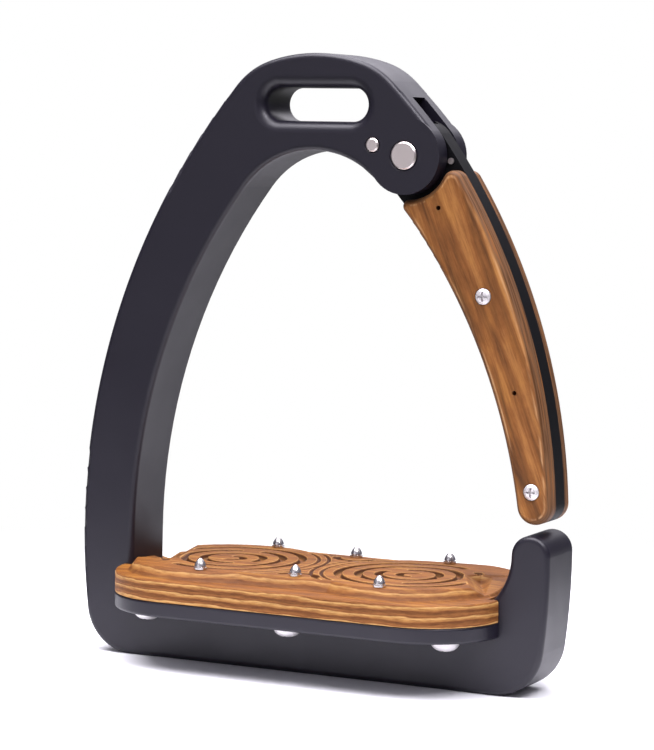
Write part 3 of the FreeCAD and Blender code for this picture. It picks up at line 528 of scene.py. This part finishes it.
@dataclass(frozen=True)
class CarvedPad:
    """The tread pad: a layered wooden plate with two carved discs of broken spiral grooves.

    All sizes are in millimetres. Heights are measured from the pad's underside.

    Args:
        corner: plan corner radius.
        rim: height of the outer ledge.
        crown: height of the carved field.
        edge_round: rounding of the ledge's edge.
        ledge_width: least width of the ledge.
        disc_offset: each disc's middle from the pad's middle.
        disc_radius: radius of the carved discs.
        waist: half depth of the field between the discs.
        waist_overlap: how far the waist reaches past each disc's middle.
        slope: width of the slope from ledge to field.
        slope_softness: share of the slope's profile that is a soft S, the rest being straight.
        pitch: spacing of the rings.
        rings: number of rings on each disc.
        ring_wander: how far a ring strays either way.
        ring_waves: waves of that wander in one turn.
        ring_shift: radians by which the waves lead on the right and lag on the left.
        wander_fade: radius where the wander starts, and over what length it grows.
        groove: depth of the grooves.
        groove_width: width of a groove at the top.
        groove_end: length over which a groove's end rises.
        bridge: uncut length that breaks each ring.
        ring_turn: degrees from one ring's bridge to the next ring's.
        swell: extra radius of the left and the right disc towards the pad's corner.
        swell_bearing: degrees from a disc's outer end to the middle of its swell.
        swell_spread: degrees from there to where the swell ends.
        gate_bearing: degrees from a disc's outer end to where a valley leaves its last ring.
        gate_start: height of a valley's floor beside its ring.
        gate_fall: fall of the floor per millimetre along the valley.
        gate_floor: lowest height of the left and the right valley's floor.
        gate_fade: where along the valley it starts, and over what length it sinks in.
        bank_slope: rise of a valley's banks per millimetre.
        hump_drop: how far the hump on the far bank lies below the crown.
        hump_fall: fall of the hump per millimetre along the valley.
        hook_centre: middle stud of the back row, from the pad's middle.
        hook_sweep: degrees of the arc that curls round each middle stud.
        seam_gaps: distances of the scored arcs inside the disc's rim.
        seam_width: half width of a scored arc.
        seam_depth: depth of a scored arc.
        seam_reach: half length along the pad of the stretch with scored arcs.
        seam_margin: how far inside the waist's edge the scored arcs end.
        seam_fade: lengths over which they fade, along and across the pad.
        seam_tone: groove strength given to a scored arc, which sets how much of the grooves' painted shade
            it takes.
        chatter: height of the tool's faint ripple.
        chatter_waves: radians per millimetre, along and across the pad, of its two crossing waves.
        stud_clear: distance from a stud's middle where grooves start, and over what length they sink in.
        stud_seam_clear: the same for scored arcs.
        notch_x: half distance between the notches for the leg and the post, from the part's X=0.
        notch_y: half depth of the notches.
        rows: cells across the depth.
        columns: cells along the length.
    """

    corner: float = 24.0
    rim: float = 6.4
    crown: float = 9.6
    edge_round: float = 0.7
    ledge_width: float = 0.6
    disc_offset: float = 29.3
    disc_radius: float = 29.6
    waist: float = 25.6
    waist_overlap: float = 4.0
    slope: float = 2.6
    slope_softness: float = 0.35
    pitch: float = 6.0
    rings: int = 4
    ring_wander: float = 0.25
    ring_waves: float = 3.0
    ring_shift: float = 1.3
    wander_fade: tuple[float, float] = (4.0, 6.0)
    groove: float = 1.5
    groove_width: float = 2.8
    groove_end: float = 1.2
    bridge: float = 7.0
    ring_turn: float = 137.5
    swell: tuple[float, float] = (3.0, 6.5)
    swell_bearing: float = 48.0
    swell_spread: float = 46.0
    gate_bearing: float = 26.0
    gate_start: float = 7.0
    gate_fall: float = 0.114
    gate_floor: tuple[float, float] = (4.5, 7.0)
    gate_fade: tuple[float, float] = (-7.0, 6.0)
    bank_slope: float = 0.57
    hump_drop: float = 0.6
    hump_fall: float = 0.1
    hook_centre: tuple[float, float] = (2.1, 20.7)
    hook_sweep: float = 150.0
    seam_gaps: tuple[float, float] = (0.6, 3.6)
    seam_width: float = 0.8
    seam_depth: float = 0.8
    seam_reach: float = 15.0
    seam_margin: float = 3.0
    seam_fade: tuple[float, float] = (3.0, 2.0)
    seam_tone: float = 0.6
    chatter: float = 0.05
    chatter_waves: tuple[tuple[float, float], ...] = ((2.1, 0.7), (-0.4, 1.7))
    stud_clear: tuple[float, float] = (2.0, 0.8)
    stud_seam_clear: tuple[float, float] = (2.3, 1.1)
    notch_x: float = 58.7
    notch_y: float = 10.3
    rows: int = 220
    columns: int = 440

    def inset(self, x: np.ndarray, y: np.ndarray, half: np.ndarray) -> np.ndarray:
        """Distance in from the rounded plan outline: a rounded box's signed distance, negated.

        Args:
            x: along the pad from its middle.
            y: across the pad from its middle.
            half: half length and half depth.

        Returns:
            The distance, negative outside.
        """
        qx = np.abs(x) - (half[0] - self.corner)
        qy = np.abs(y) - (half[1] - self.corner)
        outside = np.hypot(np.maximum(qx, 0), np.maximum(qy, 0))
        return self.corner - outside - np.minimum(np.maximum(qx, qy), 0)

    def from_disc(self, x: np.ndarray, y: np.ndarray, side: int) -> tuple[np.ndarray, np.ndarray]:
        """Offsets from a disc's middle, turned half round on the left so that outwards is +X."""
        return side * (x - side * self.disc_offset), side * y

    def channel(self, distance: np.ndarray, run: np.ndarray) -> np.ndarray:
        """Groove strength: flat floor over half its width, sloping sides, and rising ends.

        Args:
            distance: distance from the groove's middle line.
            run: distance inside the groove's nearer end, negative past it.

        Returns:
            Depth share from 0 to 1.
        """
        half = self.groove_width / 2
        return smooth((half - distance) / (half / 2)) * smooth(run / self.groove_end + 0.5)

    def broken_rings(self, x: np.ndarray, y: np.ndarray, side: int) -> np.ndarray:
        """Groove strength of one disc's rings.

        Ring k has the radius pitch * (k + 1/2) and wanders by a slow sine of its bearing. One
        bridge breaks it, and each bridge lies a fixed turn on from the last.

        Args:
            x: along the pad from its middle.
            y: across the pad from its middle.
            side: -1 for the left disc, 1 for the right one.

        Returns:
            Depth share from 0 to 1.
        """
        dx, dy = self.from_disc(x, y, side)
        r = np.hypot(dx, dy)
        angle = np.arctan2(dy, dx)
        start, length = self.wander_fade
        waves = np.sin(self.ring_waves * angle + self.ring_shift * side)
        wander = self.ring_wander * waves * smooth((r - start) / length)
        ring = np.clip(np.floor((r + wander) / self.pitch), 0, self.rings - 1)
        radius = self.pitch * (ring + 0.5)
        beyond = np.mod(angle - math.radians(self.ring_turn) * ring + math.pi, math.tau) - math.pi
        return self.channel(np.abs(r + wander - radius), np.abs(beyond) * radius - self.bridge / 2)

    def hook(self, x: np.ndarray, y: np.ndarray, side: int) -> np.ndarray:
        """Groove strength of an arc round a middle stud, open towards the nearer long edge.

        Args:
            x: along the pad from its middle.
            y: across the pad from its middle.
            side: -1 for the front row's stud, 1 for the back row's.

        Returns:
            Depth share from 0 to 1.
        """
        dx, dy = x - self.hook_centre[0], y - side * self.hook_centre[1]
        beyond = np.abs(np.arctan2(dx, -side * dy))
        run = (math.radians(self.hook_sweep / 2) - beyond) * self.pitch
        return self.channel(np.abs(np.hypot(dx, dy) - self.pitch), run)

    def reach(self, x: np.ndarray, y: np.ndarray, side: int) -> np.ndarray:
        """Distance inside one disc, whose radius swells towards one corner of the pad.

        Args:
            x: along the pad from its middle.
            y: across the pad from its middle.
            side: -1 for the left disc, 1 for the right one.

        Returns:
            The distance, negative outside.
        """
        dx, dy = self.from_disc(x, y, side)
        off = np.abs(np.arctan2(dy, dx) - math.radians(self.swell_bearing))
        swell = self.swell[side > 0] * smooth(1.0 - off / math.radians(self.swell_spread))
        return self.disc_radius + swell - np.hypot(dx, dy)

    def gate(self, x: np.ndarray, y: np.ndarray, side: int) -> np.ndarray:
        """Height limit of the V-shaped valley that leaves the last ring at a tangent.

        The valley's floor falls evenly outwards. Its far bank is capped, so a low hump is left
        between the valley and the disc's edge.

        Args:
            x: along the pad from its middle.
            y: across the pad from its middle.
            side: -1 for the left disc, 1 for the right one.

        Returns:
            The height that the surface mustn't pass.
        """
        dx, dy = self.from_disc(x, y, side)
        leave = math.radians(self.gate_bearing)
        beyond = dx * math.cos(leave) + dy * math.sin(leave) - self.pitch * (self.rings - 0.5)
        along = dx * math.sin(leave) - dy * math.cos(leave)
        floor = np.maximum(self.gate_start - self.gate_fall * along, self.gate_floor[side > 0])
        bank = floor + self.bank_slope * np.abs(beyond)
        hump = self.crown - self.hump_drop - self.hump_fall * np.maximum(along, 0.0)
        valley = np.where(beyond > 0, np.minimum(bank, hump), bank)
        start, length = self.gate_fade
        clear_of_pad = 12.0
        return valley + clear_of_pad * (1.0 - smooth((along - start) / length))

    def seams(self, x: np.ndarray, y: np.ndarray) -> np.ndarray:
        """Strength of the shallow scored arcs that follow the rim of each disc across the waist.

        Args:
            x: along the pad from its middle.
            y: across the pad from its middle.

        Returns:
            Depth share from 0 to 1.
        """
        inner = [np.hypot(x - side * self.disc_offset, y) for side in (-1, 1)]
        lines = [smooth(1.0 - np.abs(r - self.disc_radius + gap) / self.seam_width)
                 for r in inner for gap in self.seam_gaps]
        along = smooth((self.seam_reach - np.abs(x)) / self.seam_fade[0])
        across = smooth((self.waist - self.seam_margin - np.abs(y)) / self.seam_fade[1])
        return np.maximum.reduce(lines) * along * across

    def surface(self, x: np.ndarray, y: np.ndarray, half: np.ndarray,
                studs: list[np.ndarray]) -> tuple[np.ndarray, np.ndarray]:
        """Top height and groove strength at each point.

        Args:
            x: along the pad from its middle.
            y: across the pad from its middle.
            half: half length and half depth.
            studs: stud positions from the pad's middle, kept flat.

        Returns:
            Heights and groove strengths.
        """
        edge = self.inset(x, y, half)
        fall = np.clip(self.edge_round - edge, 0, self.edge_round)
        ledge = self.rim - self.edge_round + np.sqrt(self.edge_round ** 2 - fall ** 2)
        discs = [self.reach(x, y, side) for side in (-1, 1)]
        middle = np.minimum(self.waist - np.abs(y), self.disc_offset + self.waist_overlap - np.abs(x))
        field = np.minimum(np.maximum.reduce([*discs, middle]), edge - self.ledge_width) / self.slope
        rise = smooth(field) * self.slope_softness + np.clip(field, 0.0, 1.0) * (1.0 - self.slope_softness)
        ripple = math.prod(np.sin(along * x + across * y) for along, across in self.chatter_waves)
        whole = ledge + (self.crown - self.rim) * rise - np.abs(self.chatter * ripple * rise)
        near_stud = np.minimum.reduce([np.hypot(x - stud[0], y - stud[1]) for stud in studs])
        clear, seam_clear = (smooth((near_stud - start) / length)
                             for start, length in (self.stud_clear, self.stud_seam_clear))
        arcs = [arc for side in (-1, 1) for arc in (self.broken_rings(x, y, side), self.hook(x, y, side))]
        cut = np.maximum.reduce(arcs) * clear
        seam = self.seams(x, y) * (1.0 - cut)
        depth = self.groove * cut + self.seam_depth * seam * seam_clear
        limit = np.minimum(self.gate(x, y, -1), self.gate(x, y, 1))
        kept = smooth((limit - whole) / self.groove)
        return np.minimum(whole - depth * kept, limit), np.maximum(cut, self.seam_tone * seam) * kept

    def build(self, material: bpy.types.Material) -> bpy.types.Object:
        """Makes the pad's mesh as one closed height field and puts it on the frame.

        Args:
            material: the pad's finish.

        Returns:
            The pad object.
        """
        low, high = (np.array(corner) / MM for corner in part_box("tread_pad"))
        half, shift = (high - low)[:2] / 2, (low[0] + high[0]) / 2
        studs = [sum(np.array(corner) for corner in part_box(f"stud_{i}")) / 2 / MM
                 for i in range(1, STUD_COUNT + 1)]
        y = with_values(np.linspace(-half[1], half[1], self.rows + 1), [-self.notch_y, self.notch_y])
        ends = [(side * self.notch_x - shift) / half[0] for side in (1, -1)]
        u = with_values(np.linspace(-1, 1, self.columns + 1), ends)
        in_corner = np.maximum(np.abs(y) - (half[1] - self.corner), 0)
        reach = half[0] - self.corner + np.sqrt(self.corner ** 2 - in_corner ** 2)
        gx, gy = u[None, :] * reach[:, None], np.repeat(y[:, None], len(u), axis=1)
        heights, cut = self.surface(gx, gy, half, [stud - (shift, 0, 0) for stud in studs])
        cx = (gx[:-1, :-1] + gx[1:, 1:]) / 2 + shift
        cy = (gy[:-1, :-1] + gy[1:, 1:]) / 2
        solid = ~((np.abs(cy) < self.notch_y) & (np.abs(cx) > self.notch_x))
        mesh = field_mesh("carved_pad", (gx + shift, gy, heights + low[2]), low[2], solid, cut)
        mesh.materials.append(material)
        pad = new_object("carved_pad", mesh)
        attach(pad, "frame_body")
        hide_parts("tread_pad")
        return pad


# ---- studio --------------------------------------------------------------------------------------
def frame_towards(place: Triple, back: np.ndarray, roll: float = 0.0) -> Matrix:
    """Matrix of a light or camera at a place, with +Z kept upward.

    Args:
        place: position in metres.
        back: direction behind it, opposite to where it looks.
        roll: radians by which it is rolled.

    Returns:
        The 4 x 4 matrix.
    """
    back = back / np.linalg.norm(back)
    right = np.cross((0.0, 0.0, 1.0), back)
    right = right / np.linalg.norm(right)
    up = np.cross(back, right)
    rows = np.eye(4)
    rows[:3, 0] = math.cos(roll) * right + math.sin(roll) * up
    rows[:3, 1] = math.cos(roll) * up - math.sin(roll) * right
    rows[:3, 2], rows[:3, 3] = back, place
    return Matrix(rows.tolist())


@dataclass(frozen=True)
class Softbox:
    """A square studio light.

    Args:
        name: the light's name.
        place: position in metres.
        aim: point that it faces.
        size: side length in metres.
        power: watts.
        colour: sRGB hex.
    """

    name: str
    place: Triple
    aim: Triple
    size: float
    power: float
    colour: str = "#FAF7FF"

    def build(self) -> None:
        """Adds the light."""
        data = bpy.data.lights.new(self.name, "AREA")
        data.size = self.size
        data.energy = self.power
        data.color = linear(self.colour)[:3]
        light = new_object(self.name, data)
        light.matrix_world = frame_towards(self.place, np.array(self.place) - np.array(self.aim))


@dataclass(frozen=True)
class Studio:
    """Camera, lights, white surroundings and floor.

    Args:
        azimuth: camera bearing in degrees. At 0 it looks along +Y from the front.
        elevation: angle in degrees by which it looks down.
        roll: camera roll in degrees.
        place: camera position in metres.
        lens: focal length in millimetres.
        sensor: width of the camera's sensor in millimetres.
        floor_side: half width of the floor in metres.
        shadow_fade: distances from the middle, in metres, over which the floor turns pure white.
        glow_fade: distances over which the floor's light on the object falls off.
        glow_near: the floor's light beside the object, as a share of the way from glow_far to white.
        glow_far: the floor's light on the object from far off, as a share of white.
        lights: the softboxes.
    """

    azimuth: float = 26.03
    elevation: float = 5.03
    roll: float = 1.05
    place: Triple = (0.3513, -0.7171, 0.1586)
    lens: float = 129.7
    sensor: float = 36.0
    floor_side: float = 6.0
    shadow_fade: tuple[float, float] = (0.10, 0.30)
    glow_fade: tuple[float, float] = (0.15, 0.50)
    glow_near: float = 0.45
    glow_far: float = 0.22
    lights: tuple[Softbox, ...] = (
        Softbox("fill", (-0.30, -1.20, 0.16), (0.0, 0.0, 0.08), size=1.0, power=2.2),
        Softbox("back", (-0.10, 0.70, 0.85), (0.0, 0.0, 0.12), size=0.8, power=5.5),
        Softbox("top", (-0.22, -0.22, 1.15), (0.0, 0.0, 0.05), size=0.9, power=23.0),
        Softbox("right", (0.55, -0.35, 1.00), (0.0, 0.0, 0.10), size=0.45, power=10.0))

    def camera(self) -> None:
        """Adds the camera, which looks along its azimuth and elevation."""
        az, el = math.radians(self.azimuth), math.radians(self.elevation)
        back = np.array([math.sin(az) * math.cos(el), -math.cos(az) * math.cos(el), math.sin(el)])
        data = bpy.data.cameras.new("camera")
        data.lens = self.lens
        data.sensor_width = self.sensor
        data.clip_start, data.clip_end = 0.01, 50.0
        camera = new_object("camera", data)
        camera.matrix_world = frame_towards(self.place, back, math.radians(self.roll))
        bpy.context.scene.camera = camera

    def world(self) -> None:
        """Makes the surroundings: white where the camera sees them, and elsewhere SURROUNDINGS."""
        world = bpy.data.worlds.new("studio")
        bpy.context.scene.world = world
        tree = empty_tree(world)
        height = axis(tree, add(tree, "ShaderNodeTexCoord").outputs["Generated"], "Z")
        level = add(tree, "ShaderNodeMapRange", Value=height, From_Min=-1.0, From_Max=1.0).outputs[0]
        lit = add(tree, "ShaderNodeBackground", Color=ramp(tree, level, SURROUNDINGS),
                  Strength=SURROUNDINGS_STRENGTH)
        seen = add(tree, "ShaderNodeBackground", Color=WHITE, Strength=1.0)
        ray = add(tree, "ShaderNodeLightPath").outputs["Is Camera Ray"]
        both = add(tree, "ShaderNodeMixShader", Fac=ray, in1=lit.outputs[0], in2=seen.outputs[0])
        add(tree, "ShaderNodeOutputWorld", Surface=both.outputs[0])

    def floor_material(self) -> bpy.types.Material:
        """Makes the floor's white, which takes shadows near the object and glows further out.

        Returns:
            The material.
        """
        material = bpy.data.materials.new("floor")
        tree = empty_tree(material)
        place = add(tree, "ShaderNodeTexCoord").outputs["Object"]
        far = add(tree, "ShaderNodeVectorMath", {"operation": "LENGTH"}, in0=place).outputs["Value"]
        fade = add(tree, "ShaderNodeMapRange", {"interpolation_type": "SMOOTHSTEP"}, Value=far,
                   From_Min=self.shadow_fade[0], From_Max=self.shadow_fade[1])
        near = add(tree, "ShaderNodeMapRange", {"interpolation_type": "SMOOTHSTEP"}, Value=far,
                   From_Min=self.glow_fade[0], From_Max=self.glow_fade[1], To_Min=self.glow_near, To_Max=0.0)
        seen = add(tree, "ShaderNodeLightPath").outputs["Is Camera Ray"]
        bright = math_node(tree, "MAXIMUM", seen, near.outputs[0])
        strength = math_node(tree, "MULTIPLY_ADD", bright, 1.0 - self.glow_far, self.glow_far)
        matt = add(tree, "ShaderNodeBsdfDiffuse", Color=FLOOR_PAINT)
        glow = add(tree, "ShaderNodeEmission", Color=WHITE, Strength=strength)
        both = add(tree, "ShaderNodeMixShader", Fac=fade.outputs[0], in1=matt.outputs[0],
                   in2=glow.outputs[0])
        add(tree, "ShaderNodeOutputMaterial", Surface=both.outputs[0])
        return material

    def floor(self) -> None:
        """Adds the floor."""
        side = self.floor_side
        corners = [(-side, -side, 0), (side, -side, 0), (side, side, 0), (-side, side, 0)]
        mesh = bpy.data.meshes.new("floor")
        mesh.from_pydata(corners, [], [(0, 1, 2, 3)])
        mesh.materials.append(self.floor_material())
        plane = new_object("floor", mesh)

    def build(self) -> None:
        """Sets up the whole studio."""
        self.camera()
        self.world()
        self.floor()
        for light in self.lights:
            light.build()
        bpy.context.scene.view_settings.view_transform = "Standard"


def dress(nodes: dict[str, bpy.types.Object], record: dict) -> dict[str, bpy.types.Material]:
    """Gives every CAD node the finish of its material slot.

    Args:
        nodes: CAD objects by node name.
        record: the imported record.

    Returns:
        The materials by slot name.
    """
    made = {finish.value.name: finish.value.build() for finish in Finish}
    for part in record["subparts"]:
        node = nodes[part["node"]]
        node.data.materials.clear()
        node.data.materials.append(made[part["material_slot"]])
    return made


def main() -> None:
    """Builds the scene."""
    logging.basicConfig(level=logging.INFO)
    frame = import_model()
    made = dress(frame["nodes"], frame["record"])
    pad = CarvedPad().build(made["carved_wood"])
    LOG.info("pad has %d faces", len(pad.data.polygons))
    Studio().build()


if __name__ == "__main__":
    main()
